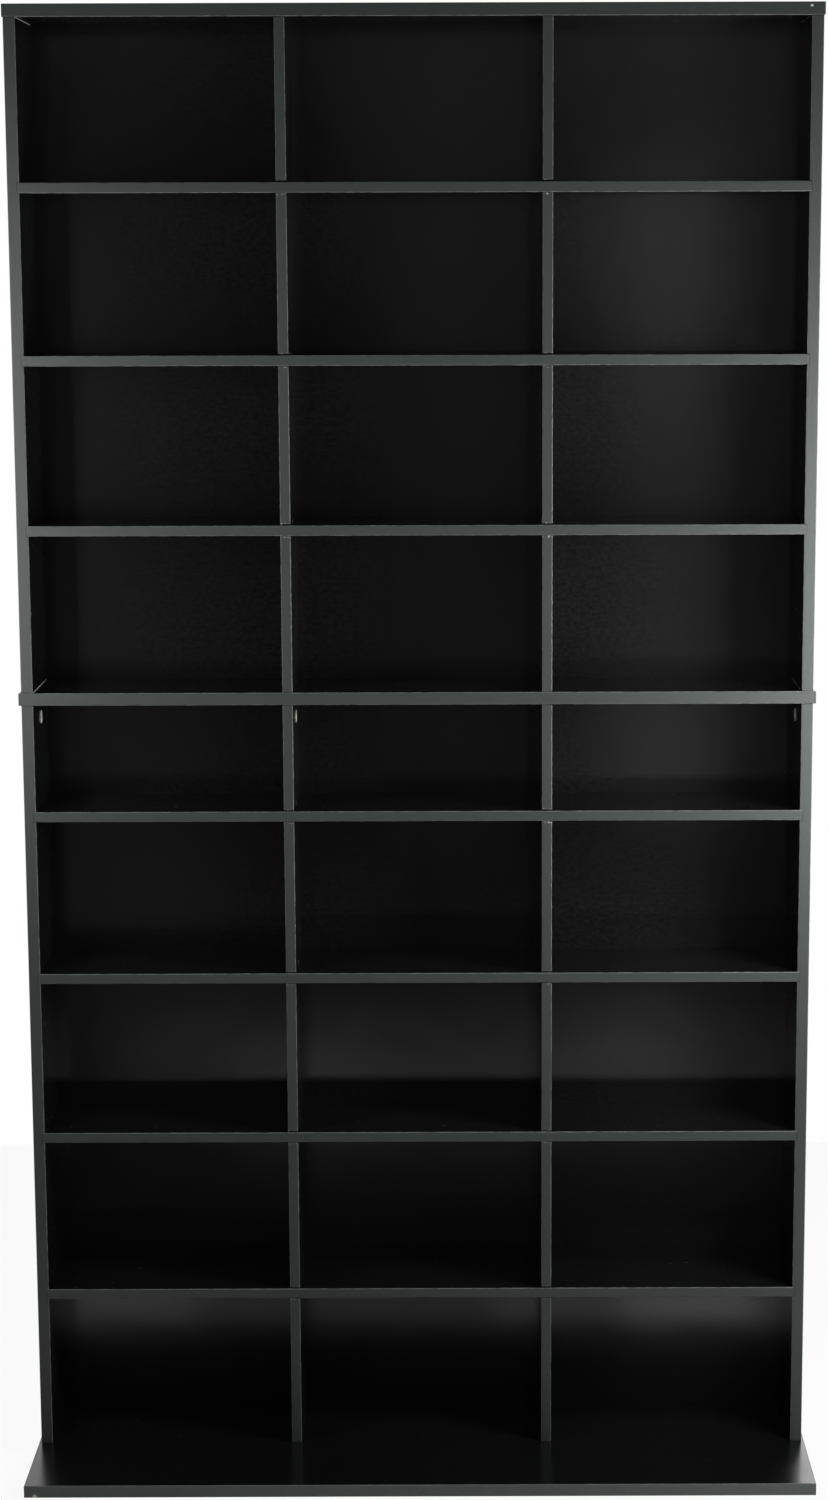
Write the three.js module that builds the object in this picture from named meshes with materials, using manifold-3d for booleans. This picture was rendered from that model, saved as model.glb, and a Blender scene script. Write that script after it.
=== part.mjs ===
// A storage tower for film and disc cases: three columns, nine rows, in two stacked sections.
// Each section is a carcass of uprights between two plates, closed behind by a thin back.
// The shelves are pushed in from the front: their ends run in grooves of the sides, and they
// cross the dividers in half-lap slots.
// The lower uprights hang on cam locks under the middle plate. The other plates are screwed.
// Lengths are millimetres. X runs left to right, Y front to back, Z up from the floor.

import * as THREE from "three";
import { mergeVertices } from "three/addons/utils/BufferGeometryUtils.js";
import Module from "manifold-3d";

const wasm = await Module();
wasm.setup();

// Board thicknesses
const side_board = 15;
const divider_board = 13;
const shelf_board = 13;
const plate_board = 16;
const back_board = 3;
const edge_ease = 1; // radius of the banded arrises

// Compartments
const column_count = 3;
const column_width = 319;
const tall_row = 200; // a film case stands on end
const low_row = 138; // a disc case stands on end
const upright_depth = 150;
const upper_rows = [tall_row, tall_row, tall_row, tall_row];
const lower_rows = [tall_row, tall_row, tall_row, tall_row, low_row]; // from the base up

// How far the three plates reach past the uprights
const top_overhang = 1.5;
const middle_overhang = 3.5;
const base_overhang = 3.5;
const base_front_reach = 160;
const base_rear_reach = 2;

// Joinery of the shelves and the back
const fit_gap = 0.3;
const groove_depth = 3.5;
const slot_headroom = 2; // air over a shelf where it crosses a divider
const lap_share = 0.5; // part of the depth that a divider gives up to the shelf
const back_inset = 1;

// Countersunk screws that hold the plates to the ends of the uprights
const screw_length = 50;
const screw_radius = 2.5;
const screw_head_radius = 5;
const screw_sink = 0.5; // the head lies this far below the face of the plate
const screw_tip_radius = 1;
const screw_tip_length = 4;
const screw_setback = 22; // from the front and the rear edge of an upright
const socket_radius = 2.3; // hexagonal drive, over its corners
const socket_depth = 3;
const socket_sides = 6;

// Wooden dowels between the middle plate and the lower uprights
const dowel_radius = 4;
const dowel_length = 30;
const dowel_in_plate = 10;
const dowel_chamfer = 1;

// Cam lock: a notched drum that draws in the head of a bolt
const cam_to_end = 24; // from the end of the upright to the drum's axis
const cam_radius = 7.5;
const cam_web = 2.6; // wood left behind the drum's bore
const cam_plate = 2.8; // solid front of the drum
const cam_rim_radius = 8.5;
const cam_rim = 0.8;
const cam_hook_radius = 3.4; // the spiral wall where it grips
const cam_free_radius = 5; // the same wall where it lets go
const cam_seam_angle = Math.PI / 6; // where the spiral steps back
const cross_depth = 2;
const cross_length = 8;
const cross_width = 1.6;
const bolt_thread_radius = 2.5;
const bolt_in_plate = 11;
const bolt_shank_radius = 3;
const bolt_neck_radius = 2;
const bolt_head_radius = 3;
const bolt_taper = 0.6;

// Smoothness of round shapes, and how far a cutter runs past what it cuts
const round_sides = 12;
const cam_sides = 28;
const ease_steps = 3;
const head_steps = 4;
const overrun = 1;

// Turns in degrees
const half_turn = 180;
const quarter_turn = 90;

// Places that follow from the sizes
const body_width = column_count * column_width + (column_count - 1) * divider_board + 2 * side_board;
const base_depth = base_front_reach + upright_depth + back_board + base_rear_reach;
const front_y = base_front_reach - base_depth / 2;
const lower_floor = plate_board;
const lower_height = section_height(lower_rows);
const middle_floor = lower_floor + lower_height;
const upper_floor = middle_floor + plate_board;
const upper_height = section_height(upper_rows);
const top_floor = upper_floor + upper_height;
const lap_y = upright_depth * lap_share;
const lock_row = upright_depth / 2;
const screw_rows = [
  ["front", screw_setback],
  ["rear", upright_depth - screw_setback],
];
const dowel_rows = screw_rows.map(([row, y]) => [row, (y + lock_row) / 2]);

// Finishes
const finishes = {
  melamine: { color: 0x121214, roughness: 0.32, metalness: 0 },
  back: { color: 0x0e0e10, roughness: 0.25, metalness: 0 },
  zinc: { color: 0xb9b4ac, roughness: 0.4, metalness: 1 },
  steel: { color: 0x8f9194, roughness: 0.35, metalness: 1 },
  beech: { color: 0xc39a66, roughness: 0.7, metalness: 0 },
};

const tower = new THREE.Group();

function section_height(rows) {
  const clear = rows.reduce((sum, row) => sum + row, 0);
  return clear + (rows.length - 1) * shelf_board;
}

// Undersides of a section's shelves, from its floor up
function shelf_levels(rows) {
  const levels = [];
  let level = 0;
  for (const row of rows.slice(0, -1)) {
    level += row;
    levels.push(level);
    level += shelf_board;
  }
  return levels;
}

// Uprights from left to right: a side, the dividers, a side
function list_uprights() {
  const uprights = [];
  let left = -body_width / 2;
  for (let i = 0; i <= column_count; i += 1) {
    const is_side = i === 0 || i === column_count;
    const board = is_side ? side_board : divider_board;
    let name = `divider_${i}`;
    if (i === 0) name = "side_left";
    if (i === column_count) name = "side_right";
    const inward = i === column_count ? -1 : 1; // the face that its cam lock is let into
    uprights.push({ name, is_side, board, inward, x: left + board / 2 });
    left += board + column_width;
  }
  return uprights;
}

// Solids and meshes

function to_solid(geometry) {
  const bare = geometry.clone();
  bare.deleteAttribute("normal");
  bare.deleteAttribute("uv");
  const merged = mergeVertices(bare);
  const vertProperties = new Float32Array(merged.attributes.position.array);
  const triVerts = new Uint32Array(merged.index.array);
  return new wasm.Manifold(new wasm.Mesh({ numProp: 3, vertProperties, triVerts }));
}

function to_geometry(solid) {
  const mesh = solid.getMesh();
  const geometry = new THREE.BufferGeometry();
  geometry.setAttribute("position", new THREE.BufferAttribute(mesh.vertProperties, 3));
  geometry.setIndex(new THREE.BufferAttribute(mesh.triVerts, 1));
  geometry.computeVertexNormals();
  return geometry;
}

function cut_all(solid, cutters) {
  return cutters.reduce((rest, cutter) => rest.subtract(cutter), solid);
}

function add_part(name, solid, finish, x, y, z, turn) {
  const mesh = new THREE.Mesh(to_geometry(solid), new THREE.MeshStandardMaterial(finish));
  mesh.name = name;
  if (turn) mesh.quaternion.setFromRotationMatrix(turn);
  mesh.position.set(x, y, z);
  tower.add(mesh);
}

// Extrusions of an outline along one axis of the tower

const x_axis = new THREE.Vector3(1, 0, 0);
const y_axis = new THREE.Vector3(0, 1, 0);
const z_axis = new THREE.Vector3(0, 0, 1);

function extrude(outline, start, length, basis) {
  const options = { depth: length, bevelEnabled: false, curveSegments: ease_steps };
  const geometry = new THREE.ExtrudeGeometry(outline, options);
  geometry.translate(0, 0, start);
  if (basis) geometry.applyMatrix4(basis);
  return to_solid(geometry);
}

function along_x(outline_yz, start, length) {
  return extrude(outline_yz, start, length, new THREE.Matrix4().makeBasis(y_axis, z_axis, x_axis));
}

function along_y(outline_zx, start, length) {
  return extrude(outline_zx, start, length, new THREE.Matrix4().makeBasis(z_axis, x_axis, y_axis));
}

function along_z(outline_xy, start, length) {
  return extrude(outline_xy, start, length, null);
}

function box_outline(left, low, width, height) {
  const outline = new THREE.Shape();
  outline.moveTo(left, low);
  outline.lineTo(left + width, low);
  outline.lineTo(left + width, low + height);
  outline.lineTo(left, low + height);
  return outline;
}

// A rectangle with both corners at its low end eased, as banding leaves a front edge
function eased_low_end(left, low, width, height) {
  const outline = new THREE.Shape();
  const right = left + width;
  outline.moveTo(left + edge_ease, low);
  outline.absarc(right - edge_ease, low + edge_ease, edge_ease, -Math.PI / 2, 0);
  outline.lineTo(right, low + height);
  outline.lineTo(left, low + height);
  outline.absarc(left + edge_ease, low + edge_ease, edge_ease, Math.PI, Math.PI * 1.5);
  return outline;
}

// A rectangle with both corners at its left end eased
function eased_left_end(left, low, width, height) {
  const outline = new THREE.Shape();
  const top = low + height;
  outline.moveTo(left + width, low);
  outline.lineTo(left + width, top);
  outline.absarc(left + edge_ease, top - edge_ease, edge_ease, Math.PI / 2, Math.PI);
  outline.absarc(left + edge_ease, low + edge_ease, edge_ease, Math.PI, Math.PI * 1.5);
  return outline;
}

// A rectangle with all four corners eased
function eased_box(left, low, width, height) {
  const outline = new THREE.Shape();
  const right = left + width;
  const top = low + height;
  outline.absarc(right - edge_ease, low + edge_ease, edge_ease, -Math.PI / 2, 0);
  outline.absarc(right - edge_ease, top - edge_ease, edge_ease, 0, Math.PI / 2);
  outline.absarc(left + edge_ease, top - edge_ease, edge_ease, Math.PI / 2, Math.PI);
  outline.absarc(left + edge_ease, low + edge_ease, edge_ease, Math.PI, Math.PI * 1.5);
  return outline;
}

// Turned shapes, by radius and height on the Z axis
function turn_solid(points, sides) {
  const profile = points.map(([radius, height]) => new THREE.Vector2(radius, height));
  const geometry = new THREE.LatheGeometry(profile, sides);
  geometry.rotateX(Math.PI / 2);
  return to_solid(geometry);
}

function rod(radius, low, high, sides = round_sides) {
  return turn_solid([[0, low], [radius, low], [radius, high], [0, high]], sides);
}

// A screw with its head's face at height zero and its tip down, or the hole that it needs
function screw_shape(slack, head_rise) {
  const shank = screw_radius + slack;
  const head = screw_head_radius + slack;
  const sides = [
    [0, -screw_length - slack],
    [screw_tip_radius + slack, -screw_length - slack],
    [shank, screw_tip_length - screw_length - slack],
    [shank, shank - head],
    [head, 0],
  ];
  if (head_rise > 0) sides.push([head, head_rise]);
  sides.push([0, head_rise]);
  return turn_solid(sides, round_sides);
}

function make_screw() {
  const length = socket_depth + overrun;
  const socket = new THREE.CylinderGeometry(socket_radius, socket_radius, length, socket_sides);
  socket.rotateX(Math.PI / 2);
  socket.translate(0, 0, (overrun - socket_depth) / 2);
  return screw_shape(0, 0).subtract(to_solid(socket));
}

// Cutters for screws that enter a plate's upper or lower face at one upright
function screw_holes(upright, plate_top, from_above) {
  return screw_rows.map(([, y]) => {
    const hole = screw_shape(fit_gap, screw_sink + overrun);
    const turned = from_above ? hole : hole.rotate([half_turn, 0, 0]);
    const face = from_above ? plate_top - screw_sink : screw_sink;
    return turned.translate([upright.x, y, face]);
  });
}

// Blind hole for a screw in the end of an upright, straight up or down
function pilot_holes(height, at_top) {
  const depth = screw_length + screw_sink - plate_board + fit_gap;
  const low = at_top ? height - depth : -overrun;
  const high = at_top ? height + overrun : depth;
  return screw_rows.map(([, y]) => rod(screw_radius + fit_gap, low, high).translate([0, y, 0]));
}

// Boards, each with its front edge at Y zero, its underside at Z zero and its middle at X zero

function make_plate(overhang, front_reach, depth, holes) {
  const width = body_width + 2 * overhang;
  const front = -front_reach;
  const slab = along_x(eased_left_end(front, 0, depth, plate_board), -width / 2, width);
  const ends = along_y(eased_box(0, -width / 2, plate_board, width), front - overrun, depth + 2 * overrun);
  return cut_all(slab.intersect(ends), holes);
}

// Outline of a side seen from the front: grooves on its inward face
function side_outline(board, height, levels, inward) {
  const outline = new THREE.Shape();
  const back_x = -inward * board / 2;
  const face_x = inward * board / 2;
  const groove_x = face_x - inward * groove_depth;
  outline.moveTo(0, back_x);
  outline.lineTo(0, face_x);
  for (const level of levels) {
    outline.lineTo(level - fit_gap, face_x);
    outline.lineTo(level - fit_gap, groove_x);
    outline.lineTo(level + shelf_board + fit_gap, groove_x);
    outline.lineTo(level + shelf_board + fit_gap, face_x);
  }
  outline.lineTo(height, face_x);
  outline.lineTo(height, back_x);
  return outline;
}

// Outline of a divider seen from its side: slots open at the front edge
function divider_outline(height, levels) {
  const outline = new THREE.Shape();
  const slot_end = lap_y + fit_gap / 2;
  outline.moveTo(upright_depth, 0);
  outline.lineTo(upright_depth, height);
  outline.lineTo(0, height);
  for (const level of [...levels].reverse()) {
    outline.lineTo(0, level + shelf_board + slot_headroom);
    outline.lineTo(slot_end, level + shelf_board + slot_headroom);
    outline.lineTo(slot_end, level - fit_gap);
    outline.lineTo(0, level - fit_gap);
  }
  outline.lineTo(0, 0);
  return outline;
}

function make_upright(upright, rows, holes) {
  const height = section_height(rows);
  const levels = shelf_levels(rows);
  const half = upright.board / 2;
  const jointed = upright.is_side
    ? along_y(side_outline(upright.board, height, levels, upright.inward), 0, upright_depth)
    : along_x(divider_outline(height, levels), -half, upright.board);
  const eased = along_z(eased_low_end(-half, 0, upright.board, upright_depth), 0, height);
  return cut_all(jointed.intersect(eased), holes);
}

// A shelf has slots open at its rear edge, where the dividers pass
function make_shelf(dividers) {
  const length = body_width - 2 * side_board + 2 * (groove_depth - fit_gap);
  const depth = upright_depth - fit_gap;
  const blank = along_x(eased_left_end(0, 0, depth, shelf_board), -length / 2, length);
  const slot_start = lap_y - fit_gap / 2;
  const slots = dividers.map((divider) => {
    const width = divider.board + 2 * fit_gap;
    const outline = box_outline(divider.x - width / 2, slot_start, width, depth);
    return along_z(outline, -overrun, shelf_board + 2 * overrun);
  });
  return cut_all(blank, slots);
}

// A back stands tight between its two plates, so that no light shows round it
function make_back(height) {
  const width = body_width - 2 * back_inset;
  return along_z(box_outline(-width / 2, 0, width, back_board), 0, height);
}

// Dowels stand in the middle plate and in the end of a lower upright, halfway from screw to lock

function dowel_holes(low, high) {
  return dowel_rows.map(([, y]) => rod(dowel_radius + fit_gap, low, high).translate([0, y, 0]));
}

function make_dowel() {
  const rim = dowel_radius - dowel_chamfer;
  const low = dowel_in_plate - dowel_length;
  const points = [
    [0, low],
    [rim, low],
    [dowel_radius, low + dowel_chamfer],
    [dowel_radius, dowel_in_plate - dowel_chamfer],
    [rim, dowel_in_plate],
    [0, dowel_in_plate],
  ];
  return turn_solid(points, round_sides);
}

// The bolt stands in the plate with its head down on the drum's axis
function make_bolt() {
  const neck_top = cam_radius + overrun - cam_to_end;
  const meet = Math.asin(bolt_neck_radius / bolt_head_radius);
  const points = [];
  for (let i = 0; i <= head_steps; i += 1) {
    const angle = Math.PI - (Math.PI - meet) * (i / head_steps);
    const radius = i === 0 ? 0 : bolt_head_radius * Math.sin(angle);
    points.push([radius, bolt_head_radius * Math.cos(angle) - cam_to_end]);
  }
  points.push([bolt_neck_radius, neck_top]);
  points.push([bolt_shank_radius, neck_top + bolt_taper]);
  points.push([bolt_shank_radius, 0]);
  points.push([bolt_thread_radius, 0]);
  points.push([bolt_thread_radius, bolt_in_plate - bolt_taper]);
  points.push([bolt_thread_radius - bolt_taper, bolt_in_plate]);
  points.push([0, bolt_in_plate]);
  return turn_solid(points, round_sides);
}

// Inner wall of the drum: a spiral that closes in on the head as the drum turns
function spiral_outline() {
  const points = [];
  for (let i = 0; i <= cam_sides; i += 1) {
    const turned = i / cam_sides;
    const radius = cam_hook_radius + (cam_free_radius - cam_hook_radius) * turned;
    const angle = cam_seam_angle - turned * 2 * Math.PI;
    points.push(new THREE.Vector2(radius * Math.cos(angle), radius * Math.sin(angle)));
  }
  return new THREE.Shape(points);
}

// Path of the bolt's neck through the drum's wall, over the half turn from shut to open
function neck_sweep_outline(reach) {
  const points = [];
  const half_width = bolt_neck_radius + fit_gap;
  const meet = Math.asin(half_width / reach);
  for (let i = 0; i <= cam_sides; i += 1) {
    const angle = meet - (Math.PI + 2 * meet) * (i / cam_sides);
    points.push(new THREE.Vector2(reach * Math.cos(angle), reach * Math.sin(angle)));
  }
  return new THREE.Shape(points);
}

// The drum's face lies at Z zero, its depth along +Z, and a shut lock's bolt enters along +X
function make_cam(board) {
  const length = board - cam_web - fit_gap;
  const bolt_z = board / 2;
  const reach = cam_radius + overrun;
  const face = -fit_gap - cam_rim;
  const drum = rod(cam_radius, -fit_gap, length, cam_sides);
  const rim = rod(cam_rim_radius, face, -fit_gap, cam_sides);
  const neck = bolt_neck_radius + fit_gap;
  const head = bolt_head_radius + fit_gap;
  const hollow = along_z(spiral_outline(), cam_plate, length + overrun - cam_plate);
  const sweep = along_z(neck_sweep_outline(reach), bolt_z - neck, 2 * neck);
  const mouth = along_z(box_outline(-reach, -head, reach, 2 * head), bolt_z - head, length);
  const arms = [
    box_outline(-cross_length / 2, -cross_width / 2, cross_length, cross_width),
    box_outline(-cross_width / 2, -cross_length / 2, cross_width, cross_length),
  ];
  const cross = arms.map((arm) => along_z(arm, face - overrun, cross_depth + overrun));
  return cut_all(drum.add(rim), [hollow, sweep, mouth, ...cross]);
}

// Room for a drum and its bolt in an upright
function cam_cutters(upright, height) {
  const bore_depth = upright.board - cam_web;
  const bore = rod(cam_radius + fit_gap, -overrun, bore_depth, cam_sides);
  const z = height - cam_to_end;
  const turned = bore.rotate([0, -upright.inward * quarter_turn, 0]);
  const placed = turned.translate([upright.inward * upright.board / 2, lock_row, z]);
  const channel = rod(bolt_shank_radius + fit_gap, z, height + overrun).translate([0, lock_row, 0]);
  return [placed, channel];
}

// Holes of each upright and plate

function upper_upright_holes(height) {
  return [...pilot_holes(height, true), ...pilot_holes(height, false)];
}

function lower_upright_holes(upright, height) {
  const hole_floor = height + dowel_in_plate - dowel_length - fit_gap;
  const dowels = dowel_holes(hole_floor, height + overrun);
  return [...pilot_holes(height, false), ...dowels, ...cam_cutters(upright, height)];
}

function middle_plate_holes(upright) {
  const dowels = dowel_holes(-overrun, dowel_in_plate + fit_gap);
  const bolt = rod(bolt_thread_radius + fit_gap, -overrun, bolt_in_plate + fit_gap);
  const sockets = [...dowels, bolt.translate([0, lock_row, 0])];
  const placed = sockets.map((hole) => hole.translate([upright.x, 0, 0]));
  return [...placed, ...screw_holes(upright, plate_board, false)];
}

// Assembly

const uprights = list_uprights();
const dividers = uprights.filter((upright) => !upright.is_side);
const plate_depth = upright_depth + back_board;

const top_holes = uprights.flatMap((upright) => screw_holes(upright, plate_board, true));
const middle_holes = uprights.flatMap(middle_plate_holes);
const base_holes = uprights.flatMap((upright) => screw_holes(upright, plate_board, false));
const top_panel = make_plate(top_overhang, 0, plate_depth, top_holes);
const middle_panel = make_plate(middle_overhang, 0, plate_depth, middle_holes);
const base_panel = make_plate(base_overhang, base_front_reach, base_depth, base_holes);
add_part("top_panel", top_panel, finishes.melamine, 0, front_y, top_floor);
add_part("middle_panel", middle_panel, finishes.melamine, 0, front_y, middle_floor);
add_part("base_panel", base_panel, finishes.melamine, 0, front_y, 0);

for (const upright of uprights) {
  const upper = make_upright(upright, upper_rows, upper_upright_holes(upper_height));
  add_part(`upper_${upright.name}`, upper, finishes.melamine, upright.x, front_y, upper_floor);
  const lower = make_upright(upright, lower_rows, lower_upright_holes(upright, lower_height));
  add_part(`lower_${upright.name}`, lower, finishes.melamine, upright.x, front_y, lower_floor);
}

function add_shelves(section, floor, rows) {
  shelf_levels(rows).forEach((level, i) => {
    add_part(`${section}_shelf_${i + 1}`, make_shelf(dividers), finishes.melamine, 0, front_y, floor + level);
  });
}
add_shelves("upper", upper_floor, upper_rows);
add_shelves("lower", lower_floor, lower_rows);

const back_y = front_y + upright_depth;
add_part("upper_back", make_back(upper_height), finishes.back, 0, back_y, upper_floor);
add_part("lower_back", make_back(lower_height), finishes.back, 0, back_y, lower_floor);

// Screws: down through the top, and up through the middle plate and the base
const upside_down = new THREE.Matrix4().makeRotationX(Math.PI);
const screw = make_screw();
for (const upright of uprights) {
  for (const [row, y] of screw_rows) {
    const ending = `${upright.name}_${row}`;
    const place = [upright.x, front_y + y];
    const top_head = top_floor + plate_board - screw_sink;
    add_part(`top_screw_${ending}`, screw, finishes.steel, ...place, top_head);
    add_part(`middle_screw_${ending}`, screw, finishes.steel, ...place, middle_floor + screw_sink, upside_down);
    add_part(`base_screw_${ending}`, screw, finishes.steel, ...place, screw_sink, upside_down);
  }
}

// Dowels and cam locks between the middle plate and the lower uprights
for (const upright of uprights) {
  for (const [row, y] of dowel_rows) {
    const name = `dowel_${upright.name}_${row}`;
    add_part(name, make_dowel(), finishes.beech, upright.x, front_y + y, middle_floor);
  }
  const lock_y = front_y + lock_row;
  add_part(`cam_bolt_${upright.name}`, make_bolt(), finishes.steel, upright.x, lock_y, middle_floor);
  const into_board = x_axis.clone().multiplyScalar(-upright.inward);
  const sideways = new THREE.Vector3().crossVectors(into_board, z_axis);
  const turn = new THREE.Matrix4().makeBasis(z_axis, sideways, into_board);
  const face_x = upright.x + upright.inward * upright.board / 2;
  const cam = make_cam(upright.board);
  add_part(`cam_${upright.name}`, cam, finishes.zinc, face_x, lock_y, middle_floor - cam_to_end, turn);
}

export default tower;
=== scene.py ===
# %% [markdown]
# A storage tower of black boards
#
# The tower holds film and disc cases. It is flat-pack furniture: black melamine-faced particle
# board, banded edges, a thin glossy back, and cam locks under the plate between its two sections.
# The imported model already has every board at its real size, so this scene only gives the finishes,
# the smallest fasteners, the light and the camera.

# %% Load the frame
import math

import bmesh
import bpy
from mathutils import Matrix, Vector


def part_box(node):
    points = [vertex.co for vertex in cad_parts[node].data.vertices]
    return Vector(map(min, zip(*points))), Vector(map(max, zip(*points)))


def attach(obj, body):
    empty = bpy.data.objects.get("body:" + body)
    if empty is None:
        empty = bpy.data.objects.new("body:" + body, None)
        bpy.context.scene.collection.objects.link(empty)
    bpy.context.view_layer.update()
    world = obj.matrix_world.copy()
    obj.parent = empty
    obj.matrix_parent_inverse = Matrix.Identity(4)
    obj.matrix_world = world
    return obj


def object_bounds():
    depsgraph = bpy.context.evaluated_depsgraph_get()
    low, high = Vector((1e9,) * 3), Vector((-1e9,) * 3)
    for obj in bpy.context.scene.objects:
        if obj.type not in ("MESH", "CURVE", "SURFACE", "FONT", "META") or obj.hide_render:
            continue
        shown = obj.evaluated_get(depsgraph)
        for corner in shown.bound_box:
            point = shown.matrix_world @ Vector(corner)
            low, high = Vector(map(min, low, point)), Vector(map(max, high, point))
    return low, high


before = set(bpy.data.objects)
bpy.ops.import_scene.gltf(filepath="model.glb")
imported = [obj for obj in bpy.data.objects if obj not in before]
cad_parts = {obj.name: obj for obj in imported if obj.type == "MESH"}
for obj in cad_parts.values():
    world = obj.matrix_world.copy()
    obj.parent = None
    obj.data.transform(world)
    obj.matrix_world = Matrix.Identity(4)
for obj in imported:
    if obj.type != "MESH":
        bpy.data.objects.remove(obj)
cad_low, cad_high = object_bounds()
nodes = sorted(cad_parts)
shelves = [n for n in nodes if "_shelf_" in n]
MM = 0.001
size = [round((high - low) / MM) for low, high in zip(cad_low, cad_high)]
print("The tower measures", size, "mm")
print("It has", len(nodes), "nodes,", len(shelves), "of them shelves")

# %% [markdown]
# The camera comes first, because everything is judged through it. It stands a good four metres in
# front of the tower, higher than its middle, and looks down a little, so the tops of the base and
# of the lower shelves show. The lens centre isn't the middle of the picture, so the sensor is
# shifted by the rest.

# %% Camera
PICTURE_WIDTH = 829
PICTURE_HEIGHT = 1500
FOCAL_PIXELS = 3367.8
LENS_CENTRE_X = 469.2
LENS_CENTRE_Y = 891.4
SENSOR_HEIGHT = 36.0  # in Blender's millimetres, any value would do
CAMERA_PLACE = (0.0584, -4.2747, 1.5714)
CAMERA_TURN = math.radians(-0.097)
CAMERA_DROP = math.radians(10.704)
CAMERA_TILT = math.radians(-0.158)

lens = bpy.data.cameras.new("camera")
lens.sensor_fit = "VERTICAL"
lens.sensor_height = SENSOR_HEIGHT
lens.lens = FOCAL_PIXELS / PICTURE_HEIGHT * SENSOR_HEIGHT
lens.shift_x = (PICTURE_WIDTH / 2 - LENS_CENTRE_X) / PICTURE_HEIGHT
lens.shift_y = (LENS_CENTRE_Y - PICTURE_HEIGHT / 2) / PICTURE_HEIGHT
camera = bpy.data.objects.new("camera", lens)
aim = Matrix.Rotation(CAMERA_TURN, 4, "Z")
aim = aim @ Matrix.Rotation(math.pi / 2 - CAMERA_DROP, 4, "X")
aim = aim @ Matrix.Rotation(CAMERA_TILT, 4, "Z")
camera.matrix_world = Matrix.Translation(CAMERA_PLACE) @ aim
bpy.context.scene.collection.objects.link(camera)
bpy.context.scene.camera = camera
bpy.context.scene.view_settings.view_transform = "Standard"
print("Lens", round(lens.lens, 1), "mm, shift", round(lens.shift_x, 4), round(lens.shift_y, 4))

# %% [markdown]
# Shader maths reads best as plain expressions. A Wire is the output of a shader node: adding or
# multiplying wires adds the Math nodes, and comparing them gives a mask of ones and zeros. Any
# other node comes from its one method, which sets the node's settings before its sockets.

# %% Shader expressions
class Wire:
    """An output socket of a shader tree, on which sums are written as expressions."""

    def __init__(self, socket):
        self.socket = socket

    def node(self, kind, settings, inputs, output=0):
        """A new node of that kind in the same tree, given its settings and then its inputs."""
        tree = self.socket.id_data
        made = tree.nodes.new(kind)
        for name, value in settings.items():
            setattr(made, name, value)
        for key, value in inputs.items():
            if isinstance(value, Wire):
                tree.links.new(value.socket, made.inputs[key])
            else:
                made.inputs[key].default_value = value
        return Wire(made.outputs[output]) if made.outputs else None

    def math(self, operation, first, second):
        """One step of arithmetic, on wires or plain numbers."""
        return self.node("ShaderNodeMath", {"operation": operation}, {0: first, 1: second})

    def __add__(self, other):
        return self.math("ADD", self, other)

    def __radd__(self, other):
        return self.math("ADD", other, self)

    def __sub__(self, other):
        return self.math("SUBTRACT", self, other)

    def __rsub__(self, other):
        return self.math("SUBTRACT", other, self)

    def __mul__(self, other):
        return self.math("MULTIPLY", self, other)

    def __rmul__(self, other):
        return self.math("MULTIPLY", other, self)

    def __gt__(self, other):
        return self.math("GREATER_THAN", self, other)

    def __lt__(self, other):
        return self.math("LESS_THAN", self, other)

    def __abs__(self):
        return self.math("ABSOLUTE", self, 0.0)


# %% [markdown]
# A few helpers write the patterns. A mask is one where something holds and zero elsewhere. Noise
# is scaled by the size of its blotches, which can be measured on a real board, and a ramp keeps
# only its peaks.

# %% Patterns
def either(first, second):
    """One where either mask is one."""
    return first.math("MAXIMUM", first, second)


def axes_of(vector):
    """The three numbers of a vector."""
    return [vector.node("ShaderNodeSeparateXYZ", {}, {0: vector}, axis) for axis in "XYZ"]


def noise(coordinates, size, detail=2.0, stretch=(1, 1, 1)):
    """Cloudy noise from 0 to 1 whose blotches are about that size, in metres."""
    scaled = coordinates.node(
        "ShaderNodeMapping", {}, {"Vector": coordinates, "Scale": [s / size for s in stretch]}
    )
    return scaled.node(
        "ShaderNodeTexNoise", {}, {"Vector": scaled, "Scale": 1.0, "Detail": detail}
    )


def ramp(value, low, high):
    """Zero below low, one above high, and a smooth rise between."""
    return value.node(
        "ShaderNodeMapRange",
        {"interpolation_type": "SMOOTHSTEP"},
        {"Value": value, "From Min": low, "From Max": high},
    )


def mix_colours(factor, first, second):
    """A colour between two colours, either of them a wire or three numbers."""
    pair = [c if isinstance(c, Wire) else (*c, 1.0) for c in (first, second)]
    return factor.node(
        "ShaderNodeMix", {"data_type": "RGBA"}, {0: factor, 6: pair[0], 7: pair[1]}, 2
    )


# %% [markdown]
# Every finish of the tower is a colour, a roughness and a fine relief. The relief goes to a Bump
# node, because it is far too shallow to be seen in the outline.

# %% Starting and ending a material
def start_material(name):
    """A new material, with the place and the outward direction of a surface point."""
    material = bpy.data.materials.new(name)
    material.use_nodes = True
    tree = material.node_tree
    tree.nodes.clear()
    coordinates = tree.nodes.new("ShaderNodeTexCoord")
    return material, Wire(coordinates.outputs["Object"]), Wire(coordinates.outputs["Normal"])


def end_material(material, colour, roughness, height, depth, constants):
    """The shader itself. Height is a pattern from 0 to 1, and depth its relief in metres."""
    bump = colour.node("ShaderNodeBump", {}, {"Height": height, "Distance": depth})
    inputs = {"Base Color": colour, "Roughness": roughness, "Normal": bump}
    inputs.update(constants)
    shader = colour.node("ShaderNodeBsdfPrincipled", {}, inputs)
    shader.node("ShaderNodeOutputMaterial", {}, {"Surface": shader})
    print("Finish", material.name, "has", len(material.node_tree.nodes), "nodes")
    return material


# %% [markdown]
# The boards are particle board faced with black melamine paper. From arm's length it is a flat
# near-black with a soft sheen, and close by it has the fine grain of the press plate, faint
# clouding and a few hand marks, which show as changes of gloss rather than of colour. Sliding
# cases in and out has also left small pale scuffs here and there.

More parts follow.
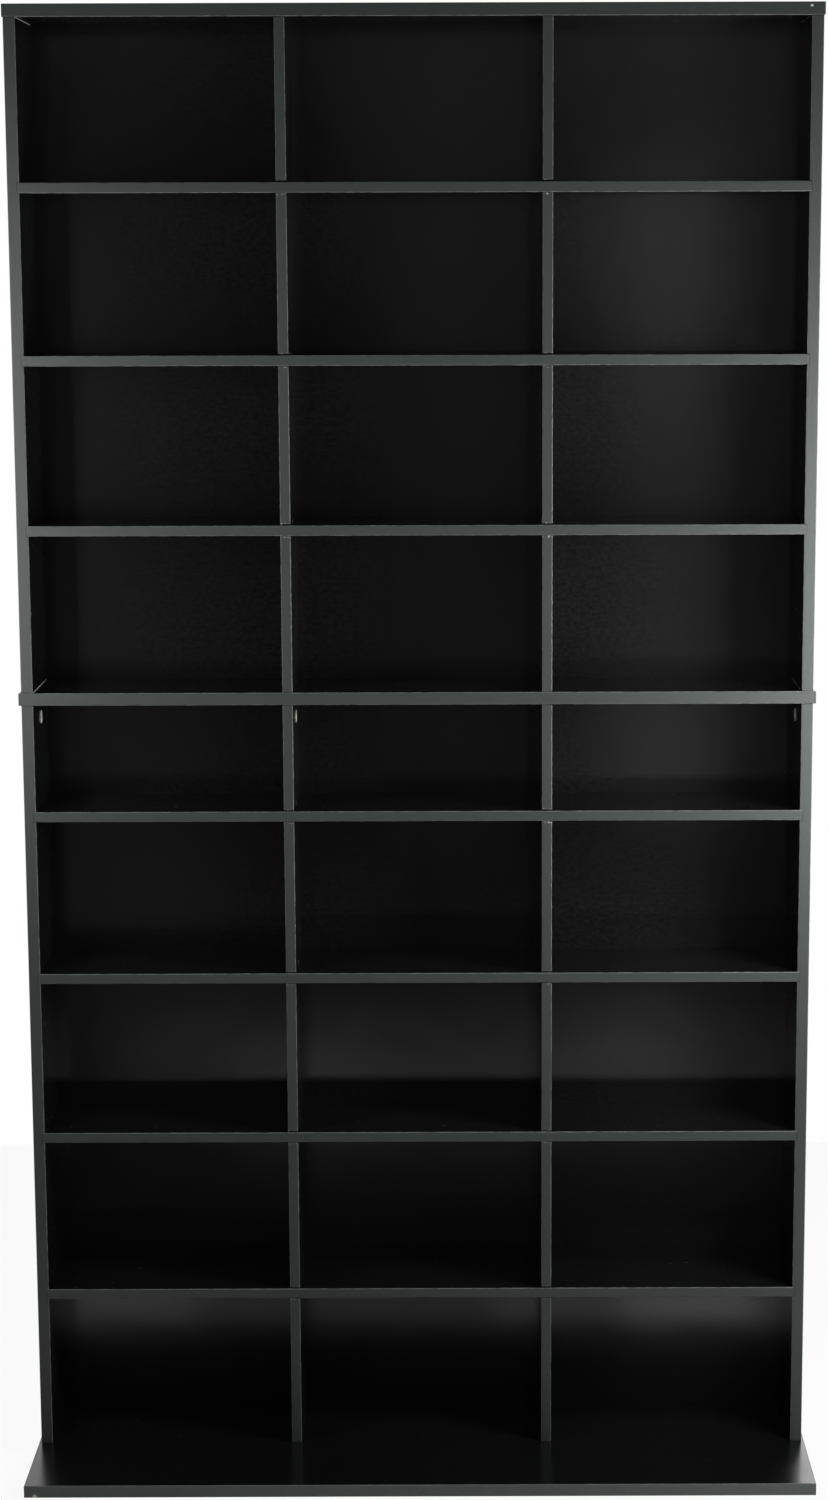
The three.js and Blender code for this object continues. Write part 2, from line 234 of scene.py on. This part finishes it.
# %% Melamine faces
MELAMINE_DARK = (0.0030, 0.0032, 0.0031)
MELAMINE_LIGHT = (0.0048, 0.0052, 0.0050)
MELAMINE_SCUFFED = (0.06, 0.06, 0.058)
MELAMINE_GLOSS = 0.20
GRAIN_DULLS = 0.04
MARK_DULLS = 0.05
SCUFF_DULLS = 0.3
CLOUD_SHARE = 0.6
PRESS_GRAIN = 0.9 * MM
SCUFF = 8 * MM
SCUFF_PEAKS = (0.7, 0.78)
CLOUD = 60 * MM
HAND_MARK = 180 * MM
HAND_MARK_PEAKS = (0.52, 0.7)


def melamine(place):
    """Colour, roughness and relief of the boards' faces."""
    grain = noise(place, PRESS_GRAIN, detail=3.0)
    cloud = noise(place, CLOUD)
    marks = ramp(noise(place, HAND_MARK, detail=4.0), *HAND_MARK_PEAKS)
    scuffs = ramp(noise(place, SCUFF, detail=5.0), *SCUFF_PEAKS)
    shade = cloud * CLOUD_SHARE + grain * (1 - CLOUD_SHARE)
    clean = mix_colours(shade, MELAMINE_DARK, MELAMINE_LIGHT)
    colour = mix_colours(scuffs, clean, MELAMINE_SCUFFED)
    roughness = MELAMINE_GLOSS + grain * GRAIN_DULLS + marks * MARK_DULLS + scuffs * SCUFF_DULLS
    return colour, roughness, grain


# %% [markdown]
# The visible edges carry a glued-on strip of matte banding, clearly greyer than the faces. It is
# drawn off a roll, so its grain runs along the board. A scraper rounds its arrises after gluing,
# which leaves them duller than the flat, and paler both from wear and from a painted highlight.

# %% Edge banding
BANDING_DARK = (0.0265, 0.0325, 0.030)
BANDING_LIGHT = (0.037, 0.0445, 0.0415)
# Wear and a painted highlight on the arrises, and painted light on the base's edge.
BANDING_WORN_AND_LIT = (0.12, 0.13, 0.125)
BANDING_GLOSS = 0.44
BANDING_DULLS = 0.08
BANDING_GRAIN = 1.1 * MM
WEAR = 9 * MM
WEAR_PEAKS = (0.25, 0.65)
ALONG_X = (0.04, 1, 1)
ALONG_Z = (1, 1, 0.04)


def banding(place, arris, run, painted_light_share=0.0):
    """Colour, roughness and relief. Arris is one on the rounded corners, paler from wear and a
    painted highlight, and the last argument is a share of that paler colour laid all over as painted
    light.
    """
    grain = noise(place, BANDING_GRAIN, detail=3.0, stretch=run)
    wear = noise(place, WEAR, detail=3.0)
    flat = mix_colours(grain, BANDING_DARK, BANDING_LIGHT)
    # The arrises are paler from wear and from a painted highlight.
    worn_and_highlit = arris * ramp(wear, *WEAR_PEAKS)
    colour = mix_colours(worn_and_highlit.math("MAXIMUM", worn_and_highlit, painted_light_share), flat, BANDING_WORN_AND_LIT)
    roughness = BANDING_GLOSS + grain * BANDING_DULLS + arris * BANDING_DULLS
    return colour, roughness, grain


# %% [markdown]
# Where no banding is glued on, at the rear edges and in the grooves, slots and holes, the raw
# particle board shows: pressed flakes of pale wood, which a Voronoi pattern gives.

# %% Raw particle board
CORE_DARK = (0.2, 0.125, 0.065)
CORE_LIGHT = (0.47, 0.35, 0.21)
CORE_ROUGHNESS = 0.92
FLAKE = 2.4 * MM
FLAKE_SHARE = 0.7


def core(place):
    """Colour, roughness and relief of the boards' raw edges."""
    scaled = place.node("ShaderNodeMapping", {}, {"Vector": place, "Scale": [1 / FLAKE] * 3})
    flakes = scaled.node("ShaderNodeTexVoronoi", {}, {"Vector": scaled}, "Distance")
    dust = noise(place, FLAKE / 3)
    shade = flakes * FLAKE_SHARE + dust * (1 - FLAKE_SHARE)
    return mix_colours(shade, CORE_DARK, CORE_LIGHT), CORE_ROUGHNESS, dust


# %% [markdown]
# Under the black skin of melamine or banding lies a pale backing. It shows where the skin is
# chipped, as a spot or a thin line that is nearly white beside the black. The same pale finish also
# serves as painted light: the hairlines of light leaking through the joints at the upper sides'
# ends.

# %% Chipped skin, and painted leaked light
BACKING_AND_LEAK_DARK = (0.4, 0.39, 0.36)
BACKING_AND_LEAK_LIGHT = (0.66, 0.65, 0.61)
BACKING_AND_LEAK_ROUGHNESS = 0.85


def backing_and_leaked_light(place):
    """Colour, roughness and relief where the black skin is gone, and of painted leaked light."""
    torn = noise(place, PRESS_GRAIN, detail=3.0)
    return mix_colours(torn, BACKING_AND_LEAK_DARK, BACKING_AND_LEAK_LIGHT), BACKING_AND_LEAK_ROUGHNESS, torn


# %% [markdown]
# One board shows all these finishes, and its mesh stays as the model has it. So each kind of
# board gets one material that picks the finish from where a point lies and which way it faces.
# The tower is symmetric, so the distance from its middle serves for both ends at once.

# %% Picking a finish
RELIEF = 0.012 * MM
EDGE_EASE = 1.05 * MM
FACING = 0.98
BOARD_IOR = 1.5


def flat_along(direction):
    """One where the surface faces squarely along that axis, either way."""
    return abs(direction) > FACING


def near_any(number, places, reach):
    """One where the number lies within reach of any of the places."""
    mask = abs(number - places[0]) < reach
    for place in places[1:]:
        mask = either(mask, abs(number - place) < reach)
    return mask


def pick(mask, elsewhere, inside):
    """The finish called inside where the mask is one, and the other finish elsewhere."""
    colour = mix_colours(mask, elsewhere[0], inside[0])
    numbers = [b * mask + a * (1 - mask) for a, b in zip(elsewhere[1:], inside[1:])]
    return [colour, *numbers]


def board_finish(place, face, band, flat, run, painted_light_share=0.0):
    """Melamine on the faces, banding in the band with arrises where it isn't flat, or raw."""
    finish = pick(face, core(place), melamine(place))
    return pick(band, finish, banding(place, band * (1 - flat), run, painted_light_share))


def end_board(material, finish):
    """Closes a board's material."""
    return end_material(material, *finish, RELIEF, {"IOR": BOARD_IOR})


def dress(names, material):
    """Gives CAD nodes a material, on the slot that each already has."""
    for name in names:
        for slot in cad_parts[name].material_slots:
            slot.material = material
    print(material.name, "on", len(names), "pieces")


# %% [markdown]
# The three plates are banded in front and at both ends. Two of them have been knocked: the top
# near its right end and the base, which stands where feet are, near its left end. Such a chip
# has a ragged outline. The base's edge is also painted paler all along, as painted light.

# %% Plates
CHIPS = {
    "top_panel": ((0.491, 0.0025, 1.8722), 1.7 * MM),
    "base_panel": ((-0.4965, -0.1575, 0.002), 2.6 * MM),
}
RAGGED = 1.4 * MM
# Painted light: the base's banding is painted paler all along.
BASE_EDGE_PAINTED_LIGHT = {"base_panel": 0.68}


def chipped(place, finish, centre, radius):
    """A finish that is knocked off within about that radius of a point."""
    gap = place.node("ShaderNodeVectorMath", {"operation": "DISTANCE"}, {0: place, 1: centre}, 1)
    ragged = gap + (noise(place, RAGGED) - 0.5) * radius
    return pick(ragged < radius, finish, backing_and_leaked_light(place))


def plate_material(plate):
    """Faces above and below, banding in front and at both ends, a raw edge behind."""
    low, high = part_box(plate)
    material, place, facing = start_material(plate + "_finish")
    x, y, _ = axes_of(place)
    across, along, up = axes_of(facing)
    band = either(y < low.y + EDGE_EASE, abs(x) > high.x - EDGE_EASE) * (along < FACING)
    flat = either(flat_along(across), flat_along(along))
    finish = board_finish(place, flat_along(up), band, flat, ALONG_X, BASE_EDGE_PAINTED_LIGHT.get(plate, 0.0))
    if plate in CHIPS:
        finish = chipped(place, finish, *CHIPS[plate])
    return end_board(material, finish)


def shelf_material():
    """Faces above and below, banding in front, raw edges elsewhere."""
    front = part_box("upper_shelf_1")[0].y
    material, place, facing = start_material("shelf_finish")
    _, along, up = axes_of(facing)
    band = axes_of(place)[1] < front + EDGE_EASE
    finish = board_finish(place, flat_along(up), band, flat_along(along), ALONG_X)
    return end_board(material, finish)


for plate in ("top_panel", "middle_panel", "base_panel"):
    dress([plate], plate_material(plate))
dress(shelves, shelf_material())

# %% [markdown]
# An upright's banding stops at its ends, where a fine dark line of painted shade marks the gap at
# the plate. The slots of the dividers are cut after banding: their mouths are painted dark, as
# painted shade in the gaps, and the banding frays beside them. Along the ends of the upper sides,
# pale hairlines of painted light, the light leaking through these gaps, run from front to back in
# the four corners, clear on the left side and broken on the right one, and a fainter pale line
# runs up beside the back.

# %% Painted shade at joints, frayed edges and painted leaked light
# Painted shade: the dark of the gaps at the uprights' ends and in the slot mouths.
GAP_SHADE_COLOUR = (0.006, 0.0066, 0.0062)
GAP_SHADE_ROUGHNESS = 0.6
GAP_SHADE_WIDTH = 1.0 * MM
SLOT_MOUTH = 14 * MM

uprights = ("upper_side_right", "lower_side_right")
upright_ends = [corner.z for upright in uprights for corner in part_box(upright)]
shelf_faces = [corner.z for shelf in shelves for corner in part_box(shelf)]
print("Uprights end at", [round(end / MM) for end in upright_ends], "mm")
print("The highest shelf face is at", round(max(shelf_faces) / MM), "mm")


def with_gap_shade(place, finish, mask):
    """A finish with painted shade, dark as a shaded gap, where the mask is one."""
    return pick(mask, finish, (GAP_SHADE_COLOUR, GAP_SHADE_ROUGHNESS, noise(place, PRESS_GRAIN)))


# %% Dividers
FRAY = 1.6 * MM
FRAY_PEAKS = (0.6, 0.72)
FRAY_REACH = 3.0 * MM


def divider_material():
    """Faces left and right, banding in front, raw ends and slots."""
    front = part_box("upper_divider_1")[0].y
    material, place, facing = start_material("divider_finish")
    _, y, z = axes_of(place)
    across, along, up = axes_of(facing)
    level = flat_along(up)
    band = (y < front + EDGE_EASE) * (1 - level)
    finish = board_finish(place, flat_along(across), band, flat_along(along), ALONG_Z)
    # The slot mouths and the band at the uprights' ends get painted shade.
    shaded_mouth = (y < front + SLOT_MOUTH) * level
    gap_shade = either(shaded_mouth, band * near_any(z, upright_ends, GAP_SHADE_WIDTH))
    torn = ramp(noise(place, FRAY), *FRAY_PEAKS)
    frayed = band * near_any(z, shelf_faces, FRAY_REACH) * torn
    finish = pick(frayed, with_gap_shade(place, finish, gap_shade), backing_and_leaked_light(place))
    return end_board(material, finish)


dress([n for n in nodes if n.startswith(("upper_divider", "lower_divider"))], divider_material())

# %% Sides
SKIN = 0.8 * MM
# Pale hairlines of painted light, light leaking through the joints at the upper sides' ends.
LEAK_LINE_WIDTH = 0.6 * MM
HAIRLINE_BREAKS = 12 * MM
LEAK_LINE_PEAKS = (0.5, 0.62)
LEFT_FAVOURED = 0.2
REAR_LINE = 1.2 * MM
REAR_PEAKS = (0.72, 0.86)
REAR_SHARE = 0.12


def side_material():
    """As a divider, but raw between its two faces, where the grooves for the shelves lie."""
    low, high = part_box("upper_side_right")
    material, place, facing = start_material("side_finish")
    x, y, z = axes_of(place)
    across, along, up = axes_of(facing)
    outward = abs(x)
    level = flat_along(up)
    sunk = (outward > low.x + SKIN) * (outward < high.x - SKIN)
    band = (y < low.y + EDGE_EASE) * (1 - level)
    face = flat_along(across) * (1 - sunk)
    finish = board_finish(place, face, band, flat_along(along), ALONG_Z)
    # The groove and slot mouths and the band at the uprights' ends get painted shade.
    shaded_mouth = (y < low.y + SLOT_MOUTH) * either(level, sunk) * (1 - band)
    gap_shade = either(shaded_mouth, band * near_any(z, upright_ends, GAP_SHADE_WIDTH))
    finish = with_gap_shade(place, finish, gap_shade)
    inner = face * (outward < low.x + SKIN)
    # The pale lines along the ends are painted light leaking through the joints, clearer on the
    # left.
    breaks = noise(place, HAIRLINE_BREAKS) + (x < 0.0) * LEFT_FAVOURED
    leaked_light_line = inner * near_any(z, [low.z, high.z], LEAK_LINE_WIDTH) * ramp(breaks, *LEAK_LINE_PEAKS)
    beside_back = inner * (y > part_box("upper_back")[0].y - REAR_LINE)
    rear = beside_back * ramp(breaks, *REAR_PEAKS) * REAR_SHARE
    return end_board(material, pick(either(leaked_light_line, rear), finish, backing_and_leaked_light(place)))


dress([n for n in nodes if n.startswith(("upper_side", "lower_side"))], side_material())

# %% [markdown]
# The backs are thin hardboard with a glossy black lacquer on the front only. The board waves a
# little over a hand's width and its fibres telegraph through, so reflections of the room turn into
# soft patches. The lacquer lies thicker on some fibre bundles than on others, which gives a fine
# mottle, a little wider than high. Behind, the brown board is bare.

# %% Backs
BACK_DARK = (0.0022, 0.0022, 0.0022)
BACK_LIGHT = (0.0068, 0.0068, 0.0068)
BACK_GLOSS = 0.15
BACK_DULLS = 0.03
HARDBOARD_DARK = (0.13, 0.075, 0.038)
HARDBOARD_LIGHT = (0.25, 0.155, 0.085)
HARDBOARD_ROUGHNESS = 0.62
FIBRE = 2.2 * MM
FIBRE_RUN = (0.35, 1, 1)
FIBRE_RELIEF = 0.02
FIBRE_SHARE = 0.3
BARE_FIBRE_SHARE = 0.6
MOTTLE = 4 * MM
MOTTLE_RUN = (0.6, 1, 1)
MOTTLE_PEAKS = (0.3, 0.7)
THICKNESS_CLOUD = 90 * MM
WAVE = 70 * MM
BACK_RELIEF = 0.25 * MM


def back_material():
    """Lacquer in front, and brown hardboard behind and at the edges."""
    material, place, facing = start_material("back_finish")
    along = axes_of(facing)[1]
    fibres = noise(place, FIBRE, detail=3.0, stretch=FIBRE_RUN)
    cloud = noise(place, THICKNESS_CLOUD, detail=3.0)
    mottle = ramp(noise(place, MOTTLE, detail=4.0, stretch=MOTTLE_RUN), *MOTTLE_PEAKS)
    relief = noise(place, WAVE, detail=1.0) + fibres * FIBRE_RELIEF
    shade = mottle * (1 - FIBRE_SHARE) + fibres * FIBRE_SHARE
    lacquer = mix_colours(shade, BACK_DARK, BACK_LIGHT)
    gloss = BACK_GLOSS + mottle * BACK_DULLS + cloud * BACK_DULLS
    shade = fibres * BARE_FIBRE_SHARE + cloud * (1 - BARE_FIBRE_SHARE)
    bare = mix_colours(shade, HARDBOARD_DARK, HARDBOARD_LIGHT)
    coated = along < -FACING
    finish = pick(coated, (bare, HARDBOARD_ROUGHNESS, relief), (lacquer, gloss, relief))
    return end_material(material, *finish, BACK_RELIEF, {"IOR": BOARD_IOR})


dress(["upper_back", "lower_back"], back_material())

# %% [markdown]
# The drums of the cam locks are small but catch the eye, four pale discs under the middle plate.
# They are cast zinc, dull and a little yellow. Cast metal this dull mirrors next to nothing, so
# most of its paleness comes from the colour, with only a little of the metallic shader.

# %% Zinc
CAST_SKIN = 0.8 * MM
CAST_RELIEF = 0.06 * MM
TARNISH = 5 * MM
ZINC_DARK = (0.76, 0.73, 0.68)
ZINC_LIGHT = (0.9, 0.87, 0.82)
ZINC_GLOSS = 0.42
ZINC_DULLS = 0.2
ZINC_SHINE = 0.2


def zinc_material():
    """Cast and tarnished, so it mirrors little."""
    material, place, _ = start_material("zinc_finish")
    skin = noise(place, CAST_SKIN, detail=4.0)
    tarnish = noise(place, TARNISH, detail=3.0)
    colour = mix_colours(tarnish, ZINC_DARK, ZINC_LIGHT)
    roughness = ZINC_GLOSS + skin * ZINC_DULLS
    shine = {"Metallic": ZINC_SHINE}
    return end_material(material, colour, roughness, skin, CAST_RELIEF, shine)


dress([n for n in nodes if n.startswith("cam_") and "bolt" not in n], zinc_material())

# %% [markdown]
# The screws and the bolts of the cam locks are plated steel. It is bright, and the bath leaves
# the plating a little uneven, which shows as soft changes of gloss.

# %% Steel
PLATING = 2 * MM
PLATING_RELIEF = 0.01 * MM
STEEL_DARK = (0.45, 0.46, 0.47)
STEEL_LIGHT = (0.6, 0.61, 0.62)
STEEL_GLOSS = 0.25
STEEL_DULLS = 0.15


def steel_material():
    """Bright plating, a little uneven."""
    material, place, _ = start_material("steel_finish")
    plating = noise(place, PLATING, detail=3.0)
    colour = mix_colours(plating, STEEL_DARK, STEEL_LIGHT)
    roughness = STEEL_GLOSS + plating * STEEL_DULLS
    shine = {"Metallic": 1.0}
    return end_material(material, colour, roughness, plating, PLATING_RELIEF, shine)


steel_finish = steel_material()
dress([n for n in nodes if "_screw_" in n or n.startswith("cam_bolt")], steel_finish)

# %% [markdown]
# The dowels beside the cam locks are beech. They stand upright, so their grain is drawn out in
# height.

# %% Beech
BEECH_GRAIN = 1.2 * MM
BEECH_RELIEF = 0.05 * MM
BEECH_DARK = (0.42, 0.25, 0.12)
BEECH_LIGHT = (0.62, 0.42, 0.24)
BEECH_GLOSS = 0.6
BEECH_DULLS = 0.15
ALONG_DOWEL = (1, 1, 0.08)


def beech_material():
    """Turned wood, its grain along the dowel."""
    material, place, _ = start_material("beech_finish")
    grain = noise(place, BEECH_GRAIN, detail=3.0, stretch=ALONG_DOWEL)
    colour = mix_colours(grain, BEECH_DARK, BEECH_LIGHT)
    roughness = BEECH_GLOSS + grain * BEECH_DULLS
    return end_material(material, colour, roughness, grain, BEECH_RELIEF, {})


dress([n for n in nodes if n.startswith("dowel")], beech_material())

# %% [markdown]
# The backs are pinned to the rear edges of the uprights. A pin is hammered in, so only its flat
# head shows, with a low boss in the middle. A short cone makes a head, and an inset of its rear
# face makes the boss. There are dozens of them, so each has only a few faces.

# %% Pin heads
PIN_HEAD_RADIUS = 2.6 * MM
PIN_HEAD_HEIGHT = 0.7 * MM
PIN_TAPER = 0.8
PIN_BOSS_INSET = 0.3
PIN_BOSS_RISE = 0.15
PIN_SIDES = 20


def pin_head(mesh, x, y, z):
    """One head, standing on the back at that place, its face towards the rear."""
    towards_rear = Matrix.Rotation(-math.pi / 2, 4, "X")
    made = bmesh.ops.create_cone(
        mesh,
        cap_ends=True,
        segments=PIN_SIDES,
        radius1=PIN_HEAD_RADIUS,
        radius2=PIN_HEAD_RADIUS * PIN_TAPER,
        depth=PIN_HEAD_HEIGHT,
        matrix=Matrix.Translation((x, y + PIN_HEAD_HEIGHT / 2, z)) @ towards_rear,
    )
    caps = [f for v in made["verts"] for f in v.link_faces if len(f.verts) == PIN_SIDES]
    bmesh.ops.inset_individual(
        mesh,
        faces=[max(caps, key=lambda f: f.calc_center_median().y)],
        thickness=PIN_HEAD_RADIUS * PIN_BOSS_INSET,
        depth=PIN_HEAD_HEIGHT * PIN_BOSS_RISE,
    )


# %% [markdown]
# The heads stand in a column on each upright, a hand's width apart. All the heads of one back are
# one piece. It rides on the carcass, which never moves.

# %% Pins in both backs
PIN_SPACING = 110 * MM
PIN_MARGIN = 3


def spread(low, high, spacing):
    """Places from low to high, both included, at about that spacing."""
    steps = max(1, round((high - low) / spacing))
    return [low + (high - low) * i / steps for i in range(steps + 1)]


def pin_back(section):
    """All the pins of one back, a column on each upright."""
    low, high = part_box(section + "_back")
    columns = []
    for upright in ("side_left", "divider_1", "divider_2", "side_right"):
        left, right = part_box(f"{section}_{upright}")
        columns.append((left.x + right.x) / 2)
    mesh = bmesh.new()
    inset = PIN_HEAD_RADIUS * PIN_MARGIN
    for x in columns:
        for z in spread(low.z + inset, high.z - inset, PIN_SPACING):
            pin_head(mesh, x, high.y, z)
    data = bpy.data.meshes.new(section + "_back_pins")
    mesh.to_mesh(data)
    mesh.free()
    piece = bpy.data.objects.new(section + "_back_pins", data)
    bpy.context.scene.collection.objects.link(piece)
    data.materials.append(steel_finish)
    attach(piece, "carcass")
    print(piece.name, "has", len(data.polygons), "faces")


pin_back("upper")
pin_back("lower")

# %% [markdown]
# The studio is a pale floor in front of a white backdrop, both white to the camera and the floor
# with a trace of the tower's shadow. The boards are so dark that most of what they show is a
# reflection, so what the gloss mirrors is kept apart: the room in front and the floor are dim
# there, and the backdrop is white, as the ends of the base show.

# %% Floor
FLOOR_FRONT = -0.6
FLOOR_REAR = 1.6
FLOOR_REACH = 1.8
FLOOR_COLOUR = (0.82, 0.82, 0.82, 1.0)
WHITE = (1, 1, 1, 1)

floor_mesh = bmesh.new()
bmesh.ops.create_grid(floor_mesh, x_segments=1, y_segments=1, size=1.0)
floor_size = (FLOOR_REACH, (FLOOR_REAR - FLOOR_FRONT) / 2, 1)
floor_centre = (0, (FLOOR_REAR + FLOOR_FRONT) / 2, 0)
bmesh.ops.scale(floor_mesh, vec=floor_size, verts=floor_mesh.verts)
bmesh.ops.translate(floor_mesh, vec=floor_centre, verts=floor_mesh.verts)
floor_data = bpy.data.meshes.new("floor")
floor_mesh.to_mesh(floor_data)
floor_mesh.free()
floor = bpy.data.objects.new("floor", floor_data)
bpy.context.scene.collection.objects.link(floor)
print("The floor spans", [round(side, 2) for side in floor.dimensions[:2]], "m")

# %% Floor finish
WHITE_SHARE = 0.92  # the rest is paper, which takes the shadow
FLOOR_SHEEN = 0.04

floor_finish, place, _ = start_material("floor_finish")
paper = place.node("ShaderNodeBsdfDiffuse", {}, {"Color": FLOOR_COLOUR})
glow = place.node("ShaderNodeEmission", {}, {"Color": WHITE, "Strength": 1.0})
dim = place.node("ShaderNodeEmission", {}, {"Color": WHITE, "Strength": FLOOR_SHEEN})
seen = place.node("ShaderNodeLightPath", {}, {}, "Is Camera Ray") * WHITE_SHARE
mirrored = place.node("ShaderNodeLightPath", {}, {}, "Is Glossy Ray")
lit = place.node("ShaderNodeMixShader", {}, {0: mirrored, 1: paper, 2: dim})
surface = place.node("ShaderNodeMixShader", {}, {0: seen, 1: lit, 2: glow})
surface.node("ShaderNodeOutputMaterial", {}, {"Surface": surface})
floor_data.materials.append(floor_finish)
print("Floor finish has", len(floor_finish.node_tree.nodes), "nodes")

# %% [markdown]
# The backdrop is the world itself. To the camera it is white. In reflections it is white only
# behind the tower and dim in front of it, and as light it is a weak wash from the front and a
# stronger one from behind, with a smooth turn between the two at the tower's sides.

# %% Backdrop
BACKDROP = 1.0
ROOM_SHEEN = 0.033
ROOM_GLOW = 0.07
REAR_GLOW = 0.9
TURN = (0.0, 0.5)

world = bpy.data.worlds.new("studio")
bpy.context.scene.world = world
world.use_nodes = True
world.node_tree.nodes.clear()
direction = Wire(world.node_tree.nodes.new("ShaderNodeTexCoord").outputs["Generated"])
path = direction.node("ShaderNodeLightPath", {}, {}, "Is Camera Ray")
glossy = direction.node("ShaderNodeLightPath", {}, {}, "Is Glossy Ray")
behind = ramp(axes_of(direction)[1], *TURN)
sheen = ROOM_SHEEN + behind * (BACKDROP - ROOM_SHEEN)
wash = ROOM_GLOW + behind * (REAR_GLOW - ROOM_GLOW)
strength = path * BACKDROP + (1 - path) * (glossy * sheen + (1 - glossy) * wash)
backdrop = direction.node("ShaderNodeBackground", {}, {"Color": WHITE, "Strength": strength})
backdrop.node("ShaderNodeOutputWorld", {}, {"Surface": backdrop})
print("The backdrop has", len(world.node_tree.nodes), "nodes")

# %% [markdown]
# Two lights stand close to the front edges, a weak one on the left and a strong one on the right,
# a little above half the tower's height. So the edges are brightest in the middle of each side
# and fade towards the top and the base, where two small lights lift them a little. Each light is
# a row of its name, its centre, the point that it faces, its height and its brightness.

# %% Lights
def soft_light(name, centre, target, width, height, radiance, mirrored_only=False):
    """A rectangular light that shines with that radiance towards a target point."""
    lamp = bpy.data.lights.new(name, "AREA")
    lamp.shape = "RECTANGLE"
    lamp.size = width
    lamp.size_y = height
    lamp.energy = radiance * width * height * math.pi  # Blender asks for the power in watts
    holder = bpy.data.objects.new(name, lamp)
    holder.location = centre
    aim = Vector(target) - Vector(centre)
    holder.rotation_euler = aim.to_track_quat("-Z", "Y").to_euler()
    holder.visible_camera = False
    holder.visible_diffuse = not mirrored_only
    bpy.context.scene.collection.objects.link(holder)
    print("Light", name, round(lamp.energy, 2), "W")


LIGHT_WIDTH = 0.3

for name, centre, target, height, radiance in (
    ("key_left", (-0.768, -0.5, 1.27), (-0.3, 0, 1.27), 0.75, 8.1),
    ("key_right", (0.904, -0.5, 1.1), (0.3, 0, 1.1), 0.6, 33.5),
    ("low_left", (-0.9, -0.7, 0.3), (-0.4, 0, 0.3), 0.4, 0.7),
    ("low_right", (0.8, -0.45, 0.08), (0.45, 0, 0.08), 0.2, 4.2),
):
    soft_light(name, centre, target, LIGHT_WIDTH, height, radiance)

# %% [markdown]
# The glossy backs mirror the room in front of the tower as soft patches, and the floor as bands
# in the lower rows. A studio would hang dim cards there, so dim lights stand in front and lie on
# the floor that show in reflections only. Their places come from following a mirrored line of
# sight from each cell. A card is given by its two edges left and right, its two edges down and
# up, and its brightness.

# %% Mirrored cards
PANEL_Y = -2.5
PANELS = (
    # left, right, bottom, top, brightness
    (-1.0, -0.45, 2.05, 2.4, 0.28),
    (-1.0, -0.45, 0.65, 2.05, 0.07),
    (-1.0, -0.45, 0.02, 0.65, 0.12),
    (-0.2, 0.12, 1.75, 2.4, 0.22),
    (0.12, 0.42, 1.75, 2.4, 0.13),
    (-0.1, 0.12, 1.35, 1.75, 0.24),
    (-0.1, 0.12, 0.3, 1.35, 0.15),
    (0.42, 0.6, 2.05, 2.4, 0.48),
    (0.42, 0.6, 1.75, 2.05, 0.3),
    (0.38, 0.6, 1.35, 1.75, 0.95),
    (0.42, 0.6, 1.0, 1.35, 0.52),
    (0.42, 0.6, 0.65, 1.0, 0.38),
    (0.38, 0.6, 0.45, 0.65, 1.15),
    (0.46, 0.6, 0.02, 0.45, 0.12),
    (0.6, 1.0, 1.75, 2.4, 0.16),
)
for number, (left, right, bottom, top, radiance) in enumerate(PANELS):
    centre = ((left + right) / 2, PANEL_Y, (bottom + top) / 2)
    size = (right - left, top - bottom)
    ahead = (centre[0], 0, centre[2])
    soft_light(f"panel_{number}", centre, ahead, *size, radiance, mirrored_only=True)

# %% [markdown]
# The strips on the floor are given in the same way, with their far and near edges as seen from
# the tower. They lie a little above the floor, or it would hide them.

# %% Mirrored strips
STRIP_HEIGHT = 5 * MM
FLOOR_STRIPS = (
    # left, right, far, near, brightness
    (-0.35, -0.15, -1.8, -1.5, 1.2),
    (-0.15, 0.5, -1.8, -1.5, 0.7),
    (-0.65, -0.35, -2.1, -1.8, 0.9),
    (-0.35, 0.3, -2.1, -1.8, 0.6),
    (0.3, 0.52, -2.1, -1.8, 1.6),
    (0.3, 0.52, -2.4, -2.1, 0.5),
    (0.52, 1.0, -2.1, -1.5, 0.37),
    (-0.8, -0.35, -0.52, -0.258, 0.9),
    (-0.35, -0.15, -0.45, -0.258, 0.5),
    (-0.15, 0.1, -0.42, -0.258, 0.55),
    (0.1, 0.3, -0.45, -0.258, 0.85),
    (0.3, 0.515, -0.38, -0.258, 1.9),
    (0.3, 0.515, -0.52, -0.38, 0.8),
)
for number, (left, right, far, near, radiance) in enumerate(FLOOR_STRIPS):
    centre = ((left + right) / 2, (far + near) / 2, STRIP_HEIGHT)
    size = (right - left, near - far)
    above = (*centre[:2], 1)
    soft_light(f"floor_strip_{number}", centre, above, *size, radiance, mirrored_only=True)

# %% [markdown]
# The right end of the base is brighter than the left one, because it mirrors a brighter stretch
# of the backdrop. Two cards far behind the tower give that.

# %% Cards behind
END_OF_BASE = (0.5, 0, 0.2)
CARD_HEIGHT = 0.9

for name, centre, width, radiance in (
    ("backdrop_right", (0.85, 2.6, 1.0), 0.2, 2.2),
    ("backdrop_far_right", (1.25, 2.6, 1.0), 0.6, 5.0),
):
    soft_light(name, centre, END_OF_BASE, width, CARD_HEIGHT, radiance, mirrored_only=True)
